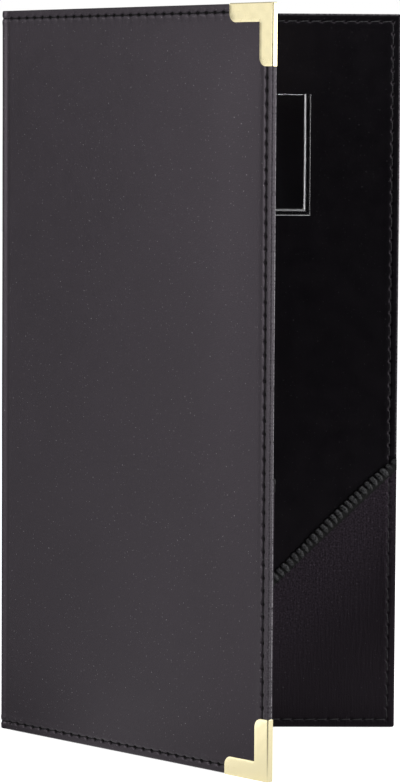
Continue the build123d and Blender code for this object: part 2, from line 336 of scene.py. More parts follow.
class Flat:
    """A flat mesh of blocks that share their edges. The ring is the sewn edge, which gets a turned
    border, and the end is the rest of the outline, from the ring's last point to its first."""

    def __init__(self):
        self.points, self.faces, self.index = [], [], {}
        self.ring, self.end = [], []

    def at(self, x, y):
        """The number of the point at a place, made if it isn't there yet."""
        key = (round(float(x), 3), round(float(y), 3))
        if key not in self.index:
            self.index[key] = len(self.points)
            self.points.append((float(x), float(y)))
        return self.index[key]

    def block(self, xs, ys):
        """A rectangle of four-sided faces."""
        for x0, x1 in zip(xs, xs[1:]):
            for y0, y1 in zip(ys, ys[1:]):
                self.faces.append([self.at(*p) for p in ((x0, y0), (x1, y0), (x1, y1), (x0, y1))])

    def fill(self, outline, inside):
        """Triangles within an outline, through the points inside it."""
        places, faces, _ = triangles(outline, inside)
        numbers = [self.at(p.x, p.y) for p in places]
        self.faces += [[numbers[v] for v in face] for face in faces]

    def rounded(self):
        """The points with the covers' free corners rounded, and the ring's outward directions."""
        points = np.array(self.points)
        low = points[:, 1] < HEIGHT / 2
        level = np.minimum(points[:, 1], HEIGHT - points[:, 1])
        sides = np.column_stack((WIDTH - points[:, 0], level))
        by_side = sides[:, :1] <= sides[:, 1:]
        radius = CORNER_RADIUS - sides.min(1, keepdims=True)
        curved = (sides.max(1, keepdims=True) < CORNER_RADIUS) & (radius > 0)
        along = np.abs(sides[:, :1] - sides[:, 1:]) / np.maximum(radius, 1e-9)
        angle = pi / 4 * (1 - np.clip(along, 0, 1))
        near = np.hstack((np.cos(angle), np.sin(angle)))
        near = np.where(by_side, near, near[:, ::-1])
        outward = np.where(curved, near, np.where(by_side, [1.0, 0.0], [0.0, 1.0]))
        x, level = np.where(curved, CORNER_RADIUS - radius * near, sides).T
        made = np.column_stack((WIDTH - x, np.where(low, level, HEIGHT - level)))
        outward[:, 1] *= np.where(low, -1, 1)
        return made, outward[self.ring]


def closed_sheet(flat, shown, border, hidden):
    """A closed sheet from a flat mesh: its shown side, the border's rows round the ring, and its
    hidden side. Shown and hidden give depths; a border row gives reach and depth. Returns the
    laid-out points, the faces and each point's place on the unrolled sheet."""
    plan, outward = flat.rounded()
    ring, count = flat.ring, len(plan)
    x, y = plan.T
    points = [np.column_stack((plan, shown(x, y)))]
    unrolled = [plan]
    run = np.zeros(len(ring))
    last = points[0][ring]
    for row in border:
        reach, depth = row(*plan[ring].T)
        place = np.column_stack((plan[ring] + outward * reach, depth))
        run = run + np.linalg.norm(place - last, axis=1)
        points.append(place)
        unrolled.append(plan[ring] + outward * run[:, None])
        last = place
    starts = [count + k * len(ring) for k in range(len(border) + 1)]
    rows = [list(ring)] + [list(range(start, start + len(ring))) for start in starts[:-1]]
    on_ring = set(ring)
    rest = [v for v in range(count) if v not in on_ring]
    below = {v: starts[-1] + k for k, v in enumerate(rest)}
    below.update(zip(ring, rows[-1]))
    points.append(np.column_stack((plan[rest], hidden(*plan[rest].T))))
    unrolled.append(plan[rest])
    faces = list(flat.faces)
    faces += [[below[v] for v in reversed(face)] for face in flat.faces]
    faces += between_rows(rows)
    chain = [ring[-1], *flat.end, ring[0]]
    faces += [[a, b, below[b], below[a]] for a, b in zip(chain, chain[1:])]
    faces += [[row[k] for row in rows] for k in (0, -1)]
    return np.vstack(points), faces, np.vstack(unrolled)


def add_object(name, data):
    """A new object in the scene."""
    piece = bpy.data.objects.new(name, data)
    scene.collection.objects.link(piece)
    return piece


def new_piece(
    name, slot, panel, points, faces, material, unrolled=None, sharp=42, wear=None, bends=False
):
    """A smooth-shaded mesh object from laid-out points, with its normals outwards. It rides on its
    cover, or with bends set has its transform baked into its mesh. Unrolled gives its points'
    places on the sheet, for the textures, and edges steeper than sharp stay sharp."""
    mesh = bpy.data.meshes.new(name)
    mesh.from_pydata(panel.place(points), [], faces)
    if unrolled is not None:
        corner = np.zeros(len(mesh.loops), np.int32)
        mesh.loops.foreach_get("vertex_index", corner)
        places = (np.asarray(unrolled)[corner] / UV_UNIT).astype(np.float32)
        mesh.uv_layers.new(name="UVMap").data.foreach_set("uv", places.ravel())
    if wear is not None:
        # A mask for the material's lighter tone: rubbed edges, and on some pieces painted highlight
        # and painted shade
        layer = mesh.attributes.new("wear", "FLOAT", "POINT")
        layer.data.foreach_set("value", np.asarray(wear, np.float32))
    work = bmesh.new()
    work.from_mesh(mesh)
    bmesh.ops.recalc_face_normals(work, faces=work.faces)
    work.to_mesh(mesh)
    work.free()
    mesh.shade_smooth()
    mesh.set_sharp_from_angle(angle=radians(sharp))
    mesh.materials.append(material)
    piece = add_object(name, mesh)
    if bends:
        panel.blend(piece)
    else:
        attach(piece, panel.body)
    return piece


def in_step(holes, low, high):
    """Mesh lines across a seam, close together at its needle holes, between two bounds."""
    lines = holes[:, None] + (holes[1] - holes[0]) * STITCH_STEPS
    return [v for v in lines.ravel() if low + LINE_GAP < v < high - LINE_GAP]


def strip_lines(fold):
    """The mesh's lines along an edge, from the fold in to the seam band's end."""
    return [fold, *(inset for inset in STRIP_INSETS if inset > fold + LINE_GAP)]


# The mesh's columns, close together by the crease and then in step with the stitches, and its rows
# along the free edge, between the seam bands
COVER_COLUMNS = [
    *np.linspace(SPINE_MIDDLE, BOARD_GAP, CREASE_COLUMNS),
    *in_step(BOARD_HOLES, BOARD_GAP, WIDTH - SEAM_BAND),
]
SIDE_ROWS = in_step(SIDE_HOLES, SEAM_BAND, HEIGHT - SEAM_BAND)


def graded(left, right, low, high):
    """Points inside a rectangle, closer together near its finely divided lower, upper and right
    sides."""
    points = []
    for offset, step in ((0.8, 1.05), (2.1, 2.1)):
        for x in np.arange(left + 2.2, right - offset, step):
            points += [(x, low + offset), (x, high - offset)]
        for y in np.arange(low + offset + step, high - offset - step / 2, step):
            points.append((right - offset, y))
    xs = np.arange(left + COARSE_STEP, right - 3.0, COARSE_STEP)
    ys = np.arange(low + COARSE_STEP, high - 3.0, COARSE_STEP)
    return points + [(x, y) for x in xs for y in ys]


def cover_flat(fold):
    """The flat mesh of a whole sheet, up to the fold round its edge."""
    flat = Flat()
    low = strip_lines(fold)
    high = [HEIGHT - inset for inset in reversed(low)]
    edge_columns = [WIDTH - inset for inset in reversed(low)]
    columns, rows = COVER_COLUMNS + edge_columns, SIDE_ROWS
    right, bottom, top = WIDTH - SEAM_BAND, SEAM_BAND, HEIGHT - SEAM_BAND
    flat.block(columns, low)
    flat.block(columns, high)
    flat.block(edge_columns, [bottom, *rows, top])
    by_crease = [x for x in columns if x < SEAM_BAND + 0.3]
    left, coarse = by_crease[-1], list(spaced(bottom, top, COARSE_STEP))
    flat.block(by_crease, coarse)
    middle = [x for x in columns if left <= x <= right + 1e-6]
    outline = [(x, bottom) for x in middle] + [(right, y) for y in rows]
    outline += [(x, top) for x in reversed(middle)] + [(left, y) for y in coarse[-2:0:-1]]
    flat.fill(outline, graded(left, right, bottom, top))
    ring = [(x, fold) for x in columns] + [(WIDTH - fold, y) for y in [*low[1:], *rows, *high]]
    ring += [(x, HEIGHT - fold) for x in columns[-2::-1]]
    flat.ring = [flat.at(*p) for p in ring]
    flat.end = [flat.at(columns[0], y) for y in [*high[-2::-1], *coarse[-2:0:-1], *low[:0:-1]]]
    return flat


def room(x, fold):
    """The share of a fold that there is room for: less by the crease, where the layers are thin."""
    return np.minimum(1, 0.9 * lining_bed(x) / fold)


def fold_rows(fold, depth, sign, turns=3):
    """Border rows round a fold's quarter circle, from the shown surface at a depth."""
    return [
        lambda x, y, a=k / turns * pi / 2: (
            fold * sin(a),
            depth(x, y) + sign * fold * (1 - cos(a)) * room(x, fold),
        )
        for k in range(1, turns + 1)
    ]


def make_outer(panel, material):
    """Outer leatherette: padded over the board, sewn, and turned round the three free edges."""

    def shown(x, y):
        uneven = waves(x, y, 0.05, OUTER_SEED + len(panel.name))
        return level_sag(x) - (seam_relief(x, y) + dome(x, y) + uneven)

    def hidden(x, y):
        inner = np.minimum(SKIN, 0.8 * lining_bed(x)) + level_sag(x)
        return np.maximum(inner, shown(x, y) + 0.1)

    def wall(share):
        return lambda x, y: (
            SKIN_FOLD,
            SKIN_FOLD * room(x, SKIN_FOLD) * (1 - share) + lining_bed(x) * share,
        )

    border = fold_rows(SKIN_FOLD, shown, 1, 4) + [wall(share) for share in (0.35, 0.7, 0.96)]
    border += [
        lambda x, y: (SKIN_FOLD - 0.05, lining_bed(x)),
        lambda x, y: (SKIN_FOLD - SKIN, lining_bed(x)),
        lambda x, y: (SKIN_FOLD - SKIN, hidden(x, y) * 0.5 + lining_bed(x) * 0.5),
        lambda x, y: (0.0, hidden(x, y)),
    ]
    points, faces, unrolled = closed_sheet(outer_flat, shown, border, hidden)
    edge = inside_edge(points[:, 0], points[:, 1])
    side = WIDTH - points[:, 0]
    # Lighter tone as painted highlight: on the free edge's fold and wall, on the margin outside its
    # seam and along the puff just inside the seam; a fainter lighter band at every edge's fold
    wear = np.maximum.reduce([
        bump(side, 0.05, 0.5),
        0.24 * (1 - smooth(side, 1.9, 2.5)),
        0.3 * bump(edge, 0.05, 0.3),
        0.3 * bump(edge, 3.35, 0.28),
    ])
    name, slot = f"{panel.name}_outer_leatherette", "cover_leatherette"
    return new_piece(name, slot, panel, points, faces, material, unrolled, wear=wear, bends=True)


def make_lining(panel, material):
    """Lining: over the board, down its edge and across the soft spine, with its cut edge bare."""

    def shown(x, y):
        relief = seam_relief(x, y, 0.5, LINING_SINK)
        uneven = waves(x, y, 0.05, LINING_SEED + len(panel.name))
        return lining_surface(x, y) + relief + uneven

    def hidden(x, y):
        return lining_bed(x) + level_sag(x)

    border = fold_rows(LINING_FOLD, shown, -1)
    border.append(lambda x, y: (LINING_FOLD, lining_bed(x)))
    points, faces, unrolled = closed_sheet(lining_flat, shown, border, hidden)
    wear = bump(inside_edge(points[:, 0], points[:, 1]), 0.0, 0.12)
    name, slot = f"{panel.name}_inner_lining", "lining"
    return new_piece(name, slot, panel, points, faces, material, unrolled, wear=wear, bends=True)


# ---- stitches

def stitch_points(start, end, surface, sign, draw):
    """One stitch as rings of a twisted thread that dives into its two needle holes. Start and end
    are places on the sheet, surface gives its depth and sign is 1 on the inside."""
    rings, sides = 12, 8
    start, end = np.array(start), np.array(end)
    length = np.linalg.norm(end - start)
    along = (end - start) / length
    across = np.array([-along[1], along[0]])
    t = np.linspace(-1, 1, rings)
    reach = length / 2 - 0.3
    slant, shift, lift = draw.normal((0.1, 0, 0), (0.03, 0.02, 0.012))
    middle = (start + end) / 2 + across * shift
    line = middle + np.outer(t * reach, along) + np.outer(slant * t, across)
    height = THREAD_LEVEL[sign] + lift - THREAD_DIVE * np.abs(t) ** 5
    radius = THREAD_RADIUS * (1 - 0.45 * np.abs(t) ** 8)
    twist = t * 2.6 + draw.uniform(0, pi)
    angle = np.arange(sides) / sides * 2 * pi
    points = []
    for k in range(rings):
        r = radius[k] * (1 + 0.13 * np.cos(2 * (angle - twist[k])))
        place = line[k] + np.outer(r * np.cos(angle), across)
        depth = surface(*place.T) + sign * (height[k] + 0.9 * r * np.sin(angle))
        points.append(np.column_stack((place, depth)))
    return np.vstack(points), tube_faces(rings, sides)


def make_stitches(panel, name, slot, material, surface, sign, shows):
    """All the stitches on one side of a cover and its half of the spine."""
    draw = np.random.default_rng(STITCH_SEED + 7 * sign + len(panel.name))
    level = [SPINE_MIDDLE, *LEVEL_HOLES[1:]]
    runs = []
    for y in (STITCH_INSET, HEIGHT - STITCH_INSET):
        runs += [((a, y), (b, y)) for a, b in zip(level, level[1:])]
    x = WIDTH - STITCH_INSET
    runs += [((x, a), (x, b)) for a, b in zip(SIDE_HOLES, SIDE_HOLES[1:])]
    points, faces = [], []
    for start, end in runs:
        if not shows((start[0] + end[0]) / 2, (start[1] + end[1]) / 2):
            continue
        if start[0] == SPINE_MIDDLE:
            start = (SPINE_MIDDLE - THREAD_OVERLAP, start[1])
        stitch, stitch_faces = stitch_points(start, end, surface, sign, draw)
        faces += [[v + len(points) for v in face] for face in stitch_faces]
        points += list(stitch)
    return new_piece(name, slot, panel, points, faces, material, sharp=60, bends=True)


# ---- pockets

def pocket_lift(panel, x, y):
    """How far the pocket's sheet stands off the lining: slack in its middle, with small gathers
    that run in from the binding."""
    into = panel.into_pocket(x, y)
    along = (x - WIDTH) * RUN + (y - panel.pocket_height) * RISE
    slack = smooth(inside_edge(x, y), 3.0, 26.0) * smooth(into, -4.0, 12.0)
    gathers = np.sin(2 * pi * along / RIB_PITCH) * bump(into, BINDING_WIDTH, 1.6)
    return POCKET_LIFT * slack + 0.05 * gathers * smooth(inside_edge(x, y), 1.0, 5.0)


def pocket_flat(panel, fold):
    """The flat mesh of a pocket's triangle."""
    flat = Flat()
    top = panel.pocket_height - BINDING_LIP / RUN
    foot = WIDTH - top / STEEP
    strip = strip_lines(fold)
    edge_columns = [WIDTH - inset for inset in reversed(strip)]
    columns = [x for x in COVER_COLUMNS + edge_columns if x > foot + fold / STEEP + 0.4]
    rows = [y for y in [*strip, *SIDE_ROWS] if y < top - fold - 0.4]
    columns.insert(0, foot + fold / STEEP)
    rows.append(top - fold * STEEP)

    def on_slope(x, into=0.0):
        y = (x - foot) * STEEP
        bow = pocket_bow((WIDTH - x) * RUN + (top - y) * RISE) - into
        return x - bow * RISE, y + bow * RUN

    slope = [on_slope(x) for x in np.arange(WIDTH - fold - 1.0, foot + fold + 0.8, -1.0)]
    outline = [(x, fold) for x in columns] + [(WIDTH - fold, y) for y in rows[1:]] + slope
    inside = [
        (x, y)
        for x in columns
        for y in rows
        if fold < min(WIDTH - x, y) <= SEAM_BAND and (x - foot) * STEEP - y > 0.5
    ]
    for into in (1.8, 3.4, 4.6, 6.0):
        start = foot + (SEAM_BAND + into / RUN) / STEEP + 1
        for x in np.arange(start, WIDTH - SEAM_BAND - 0.5, 0.6 * RUN):
            inside.append(on_slope(x, into))
    xs = np.arange(foot + SEAM_BAND + 2, WIDTH - SEAM_BAND - 1, POCKET_STEP)
    ys = np.arange(SEAM_BAND + 1.5, top, POCKET_STEP)
    inside += [(x, y) for x in xs for y in ys if ((x - foot) * STEEP - y) * RUN > 7.0]
    flat.fill(outline, inside)
    numbers = [flat.at(*p) for p in outline]
    square = len(columns) + len(rows) - 1
    flat.ring, flat.end = numbers[:square], numbers[square:]
    return flat


def pocket_surface(panel, x, y):
    """The depth of the pocket's shown side."""
    return STACK + POCKET_SHEET + pocket_lift(panel, x, y)


def make_pocket(panel, material):
    """Corner pocket: a slack triangle of leatherette, sewn in along its two square sides."""
    foot = STACK + POCKET_GAP

    def shown(x, y):
        relief = seam_relief(x, y, 0.7, POCKET_SINK)
        return pocket_surface(panel, x, y) + relief + waves(x, y, 0.09, POCKET_SEED)

    def hidden(x, y):
        return foot + 0.9 * pocket_lift(panel, x, y)

    border = fold_rows(POCKET_FOLD, shown, -1)
    border.append(lambda x, y: (POCKET_FOLD, np.full_like(x, foot)))
    flat = pocket_flat(panel, POCKET_FOLD)
    points, faces, unrolled = closed_sheet(flat, shown, border, hidden)
    x, y = unrolled.T
    # Painted light: the sheet is lighter near the pocket's mouth and darker deeper in, where the
    # covers shade it; also a lighter band along its sewn fold
    painted_light_at_mouth = 0.55 * (1 - smooth(panel.into_pocket(x, y), 0, 42))
    wear = np.maximum(bump(inside_edge(x, y), 0, 0.15), painted_light_at_mouth)
    name, slot = f"{panel.name}_pocket_sheet", "pocket_leatherette"
    return new_piece(name, slot, panel, points, faces, material, unrolled, wear=wear)


def make_binding(panel, material):
    """Gathered binding over the pocket's sloping edge: plump ribs, pulled in by the elastic and
    pinched down where they are sewn."""
    draw = np.random.default_rng(BINDING_SEED + len(panel.name))
    length = panel.pocket_height / RISE
    ribs = ceil(length / RIB_PITCH) + 4
    starts = (np.arange(ribs + 1) - 2.0) * RIB_PITCH + draw.normal(0, 0.13, ribs + 1)
    plump = draw.normal(1, 0.09, ribs)
    lean = RIB_LEAN + draw.normal(0, 0.05, ribs + 1)
    outer_end = draw.normal(0, 0.07, ribs)
    points = []
    t = np.linspace(0, 1, RIB_PROFILE)
    arch = np.sin(pi * t ** 0.85) ** 0.38
    for k in range(ribs):
        for f in RIB_STEPS:
            swell = 1 - (1 - sin(pi * f)) ** 1.5
            skew = lean[k] * (1 - f) + lean[k + 1] * f
            u = starts[k] * (1 - f) + starts[k + 1] * f
            begin = 0.28 - (0.4 + outer_end[k]) * swell
            end = BINDING_WIDTH - 0.5 + 0.5 * swell
            v = begin + (end - begin) * (0.5 - 0.5 * np.cos(pi * t))
            top = BINDING_HEIGHT - RIB_RISE * (1 - swell * plump[k]) - 0.02
            pinch = bump(v, BINDING_WIDTH - 0.75, 0.38) * (0.1 + 0.5 * (1 - swell))
            z = BINDING_FOOT + (top - BINDING_FOOT) * arch - pinch
            z = np.maximum(z, BINDING_FOOT + 0.42 * smooth(v, 2.2, 3.2))
            curve = RIB_CURVE * (1 - (v / BINDING_WIDTH - 0.5) ** 2 * 4)
            place = u + skew * (v - BINDING_WIDTH / 2) + curve
            points += zip(place, v, np.minimum(z, BINDING_HEIGHT))
            under = np.linspace(v[-1], v[0], RIB_UNDERSIDE + 2)[1:-1]
            points += [(place.mean(), across, POCKET_GAP) for across in under]
    u, v, z = np.array(points).T
    v = v - pocket_bow(length - u)
    x = WIDTH - panel.pocket_height / STEEP + u * RUN + v * RISE
    y = u * RISE - v * RUN
    z *= 0.8 + 0.2 * smooth(inside_edge(x, y), 1.0, 4.5)
    work = bmesh.new()
    made = [work.verts.new(p) for p in np.column_stack((x, y, z))]
    for face in tube_faces(ribs * len(RIB_STEPS), RIB_PROFILE + RIB_UNDERSIDE):
        work.faces.new([made[v] for v in face])
    free_edge, lower_edge = (WIDTH - BINDING_MARGIN, 0, 0), (0, BINDING_MARGIN, 0)
    for place, normal in ((free_edge, (1, 0, 0)), (lower_edge, (0, -1, 0))):
        geometry = work.verts[:] + work.edges[:] + work.faces[:]
        cut = bmesh.ops.bisect_plane(
            work, geom=geometry, dist=1e-4, plane_co=place, plane_no=normal, clear_outer=True
        )
        rim = [e for e in cut["geom_cut"] if isinstance(e, bmesh.types.BMEdge)]
        bmesh.ops.contextual_create(work, geom=rim)
    work.verts.index_update()
    laid = np.array([v.co for v in work.verts])
    faces = [[v.index for v in face.verts] for face in work.faces]
    work.free()
    # Painted highlight and shade: the rib tops take the lighter tone and the gaps between them stay
    # near black
    wear = smooth(laid[:, 2], 0.75, 1.2)
    laid[:, 2] += STACK
    name, slot = f"{panel.name}_pocket_ribbed_binding", "binding"
    return new_piece(name, slot, panel, laid, faces, material, laid[:, :2], 75, wear)


# ---- card pocket

def film_height(x, y):
    """How far the film's shown side stands off the lining: pressed flat in the weld, with a
    squeezed bead along each side of it, and slack between."""
    side = np.minimum(x, CARD_WIDTH - x)
    rim = np.minimum(side, y)
    wander = 0.1 * np.sin(y / 6.1 + 0.6) + 0.05 * np.sin(x / 6.3) + 0.05 * np.sin(y / 1.7)
    inner = WELD_WIDTH + wander
    weld = FILM + 0.04 + 0.1 * bump(rim, 0.16, 0.13)
    step = smooth(rim, inner - 0.28, inner + 0.18)
    bead = 0.2 * bump(rim, inner + 0.22, 0.3)
    slack = 0.16 * smooth(rim, WELD_WIDTH, WELD_WIDTH + 9) + 0.04 * np.sin(x / 13 + y / 21)
    lip = 0.34 * smooth(y, CARD_HEIGHT - 0.38, CARD_HEIGHT - 0.12)
    return weld + step * (0.34 + slack - lip) + bead * step


def film_haze_and_highlight(x, y):
    """Where the film has gone milky, with a painted highlight added: in the squeezed beads and
    along its cut edges.
    """
    rim = np.minimum(np.minimum(x, CARD_WIDTH - x), y)
    bead = 0.55 * bump(rim, WELD_WIDTH, 0.25)
    return np.maximum.reduce([bead, 0.5 * bump(y, 0.1, 0.22), 0.2 * bump(rim, 0.1, 0.2)])


def outer_side(value, size):
    """-1 on a film's first mesh line, 1 on its last and 0 between."""
    near = FILM_MARGIN + 0.01
    return 1.0 * (value >= size - near) - (value <= near)


def make_card_pocket(material):
    """Clear vinyl pocket, welded to the lining on three sides and open at its top."""
    right_lines = [CARD_WIDTH - v for v in reversed(WELD_LINES)]
    xs = [*WELD_LINES, *np.arange(6, CARD_WIDTH - 5.5, FILM_STEP), *right_lines]
    lip_lines = [CARD_HEIGHT - v for v in LIP_LINES]
    ys = [*WELD_LINES, *np.arange(6, CARD_HEIGHT - 2.2, FILM_STEP), *lip_lines]
    grid_x, grid_y = (g.ravel() for g in np.meshgrid(xs, ys, indexing="ij"))
    top = film_height(grid_x, grid_y)
    number = np.arange(len(top)).reshape(len(xs), len(ys))
    corners = (number[:-1, :-1], number[1:, :-1], number[1:, 1:], number[:-1, 1:])
    quads = np.stack(corners, axis=-1).reshape(-1, 4).tolist()
    loop = [*number[:, 0], *number[-1, 1:], *number[-2::-1, -1], *number[0, -2:0:-1]]
    loop = [int(v) for v in loop]
    edge_x, edge_y = grid_x[loop], grid_y[loop]
    out_x, out_y = outer_side(edge_x, CARD_WIDTH), outer_side(edge_y, CARD_HEIGHT)
    size = np.maximum(1, np.hypot(out_x, out_y))
    layers = [np.column_stack((grid_x, grid_y, top))]
    for share, drop in ((0.7, 0.12), (1.0, 0.5), (0.7, 0.88)):
        layers.append(np.column_stack((
            edge_x + out_x / size * FILM_BULGE * share,
            edge_y + out_y / size * FILM_BULGE * share,
            top[loop] - FILM * drop,
        )))
    layers.append(np.column_stack((grid_x, grid_y, top - FILM)))
    starts = [len(top) + k * len(loop) for k in range(4)]
    rows = [loop, *(list(range(start, start + len(loop))) for start in starts[:3])]
    rows.append([starts[3] + v for v in loop])
    faces = quads + [[starts[3] + v for v in reversed(quad)] for quad in quads]
    faces += between_rows([row + row[:1] for row in rows])
    points = np.vstack(layers)
    # The film's milky parts, with a painted highlight in the weld beads and along the cut edges
    haze_and_highlight = film_haze_and_highlight(points[:, 0], points[:, 1])
    points += (CARD_LEFT, CARD_BOTTOM, STACK)
    name, slot = "clear_card_pocket", "clear_vinyl"
    return new_piece(name, slot, back, points, faces, material, points[:, :2], 60, haze_and_highlight)


# ---- metal corners

def cap_outline():
    """The L's outline beyond the folds, from one leg's end round the inner side to the other's,
    as distances from the two outer edges."""
    leg, arm, r, step = CAP_LEG, CAP_ARM, CAP_TIP_RADIUS, CAP_STEP
    turn = np.linspace(0, pi / 2, 10)
    line = [(CAP_FOLD, leg), *((x, leg) for x in np.arange(CAP_FOLD + step, arm - r, step))]
    line += [(arm - r + r * sin(a), leg - r + r * cos(a)) for a in turn]
    line += [(arm, y) for y in np.arange(leg - r - step, arm + step / 2, -step)]
    line.append((arm, arm))
    return line + [(b, a) for a, b in reversed(line[:-1])]


def make_cap(name, at_top, clasped, material, replaced):
    """Metal corner: a sheet folded round the cover's two edges, an L on each face."""
    legs = np.arange(CAP_CORNER + CAP_STEP, CAP_LEG - CAP_STEP / 2, CAP_STEP)
    places = [(v, 0.0, 0.0, 1.0) for v in [CAP_LEG, *legs[::-1]]]
    for a in np.linspace(pi / 2, 0, 5):
        c, s = cos(a), sin(a)
        places.append((CAP_CORNER - CAP_CORNER * c, CAP_CORNER - CAP_CORNER * s, c, s))
    places += [(0.0, v, 1.0, 0.0) for v in [*legs, CAP_LEG]]
    fold_line, normals = np.hsplit(np.array(places), 2)
    depth_front, depth_back = -CAP_SHEET, clasped + CAP_SHEET
    eased = [(CAP_FOLD - inset, down) for inset, down in CAP_EASED]
    profile = eased + [(down, inset) for inset, down in reversed(eased)]
    rows = [(inset, depth_front + down) for inset, down in profile]
    rows += [(0.0, depth_front * (1 - f) + depth_back * f) for f in (0.35, 0.5, 0.65)]
    rows += [(inset, depth_back - down) for inset, down in reversed(profile)]
    n = len(fold_line)
    points = []
    for inset, depth in rows:
        points += list(np.column_stack((fold_line + normals * inset, np.full(n, depth))))
    faces = between_rows([range(k * n, (k + 1) * n) for k in range(len(rows))])
    ends = cap_outline()[1:-1]
    span = np.arange(1.2, CAP_LEG - 0.7, 0.9)
    inside = [
        (a, b)
        for a in span
        for b in span
        if min(a, b) < CAP_ARM - 0.7
        and not (max(a, b) > CAP_LEG - 3.2 and min(a, b) > CAP_ARM - 3.4)
    ]
    for first, depth in ((0, depth_front), ((len(rows) - 1) * n, depth_back)):
        ring = [p[:2] for p in points[first : first + n]]
        places, made, sources = triangles(ring + ends, inside)
        numbers = []
        for v, given in zip(places, sources):
            if given and given[0] < n:
                numbers.append(first + given[0])
            else:
                numbers.append(len(points))
                dent = 0.016 * sin(v.x * 0.9 + 1) * sin(v.y * 1.1 + depth)
                points.append((v.x, v.y, depth + (dent if min(v.x, v.y) > 1 else 0)))
        faces += [[numbers[v] for v in face] for face in made]
    local = np.array(points)
    x = WIDTH + CAP_SHEET - local[:, 0]
    y = HEIGHT + CAP_SHEET - local[:, 1] if at_top else local[:, 1] - CAP_SHEET
    laid, slot = np.column_stack((x, y, local[:, 2])), "gold_corner"
    piece = new_piece(name, slot, front, laid, faces, material, local[:, :2], sharp=12)
    face_away(piece.data, front, HEIGHT - 3.0 if at_top else 3.0)
    thick = piece.modifiers.new("sheet", "SOLIDIFY")
    thick.thickness = CAP_SHEET / 1000
    thick.offset = -1
    bevel = piece.modifiers.new("eased_edges", "BEVEL")
    bevel.width = CAP_BEVEL / 1000
    bevel.segments = 3
    bevel.limit_method = "ANGLE"
    bevel.angle_limit = radians(60)
    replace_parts(piece, replaced)


def face_away(mesh, panel, y):
    """Turns an open folded sheet so that its normals point away from the cover's edge at y."""
    inner = Vector((*(panel.crease + panel.run * (WIDTH - 3.0) - panel.outward), y)) / 1000
    away = sum((face.center - inner).dot(face.normal) * face.area for face in mesh.polygons)
    if away < 0:
        mesh.flip_normals()


# ---- materials

def rgb(tone, share=1.0):
    """A colour from its linear parts, each times a share."""
    return (*(share * part for part in tone), 1.0)


WHITE = rgb((1.0, 1.0, 1.0))


class Nodes:
    """The shader nodes of the world or of a material."""

    def __init__(self, tree):
        self.tree = tree

    def node(self, kind, inputs=None, output=0, **settings):
        """An output of a new node that has its inputs linked to sockets or set to values."""
        node = self.tree.nodes.new("ShaderNode" + kind)
        for name, value in settings.items():
            setattr(node, name, value)
        for name, value in (inputs or {}).items():
            if isinstance(value, bpy.types.NodeSocket):
                self.tree.links.new(value, node.inputs[name])
            else:
                node.inputs[name].default_value = value
        return node.outputs[output]

    def between(self, value, low, high, start=0.0, end=1.0, **settings):
        inputs = {"Value": value, "From Min": start, "From Max": end, "To Min": low, "To Max": high}
        return self.node("MapRange", inputs, **settings)

    def math(self, kind, one, two):
        return self.node("Math", {0: one, 1: two}, operation=kind)


class Shader(Nodes):
    """A node material, built up from a Principled shader. Noises lie on the unrolled sheet."""

    def __init__(self, name):
        self.material = bpy.data.materials.new(name)
        self.material.use_nodes = True
        super().__init__(self.material.node_tree)
        self.base = self.tree.nodes["Principled BSDF"]
        self.uv = self.node("UVMap", uv_map="UVMap")
        self.place = self.node("TexCoord", output="Object")

    def set(self, **values):
        for name, value in values.items():
            self.base.inputs[name.replace("_", " ")].default_value = value
        return self

    def link(self, source, name):
        self.tree.links.new(source, self.base.inputs[name])

    def noise(self, scale, detail=2.0, rough=0.5, source=None):
        source = source or self.uv
        inputs = {"Vector": source, "Scale": scale, "Detail": detail, "Roughness": rough}
        return self.node("TexNoise", inputs, "Fac")

    def streaks(self, across, along, angle=0.0):
        """Noise drawn out into lines."""
        inputs = {"Vector": self.uv, "Scale": (across, along, 1.0), "Rotation": (0, 0, angle)}
        return self.noise(1.0, 3.0, source=self.node("Mapping", inputs))

    def mix(self, share, one, two):
        return self.node("Mix", {0: share, 6: one, 7: two}, 2, data_type="RGBA")

    # The mask of the lighter tone: rubbed edges, and painted highlight and shade on some pieces
    def wear(self):
        return self.node("Attribute", output="Fac", attribute_name="wear")

    def finish(self, colour, roughness, *relief):
        """The material with its colour, roughness if it varies, and relief: chained bumps, each a
        height and its depth in millimetres."""
        self.link(colour, "Base Color")
        if roughness:
            self.link(roughness, "Roughness")
        normal = {}
        for height, depth in relief:
            inputs = {"Height": height, "Distance": depth / 1000, "Strength": 1.0, **normal}
            normal = {"Normal": self.node("Bump", inputs)}
        self.link(normal["Normal"], "Normal")
        return self.material


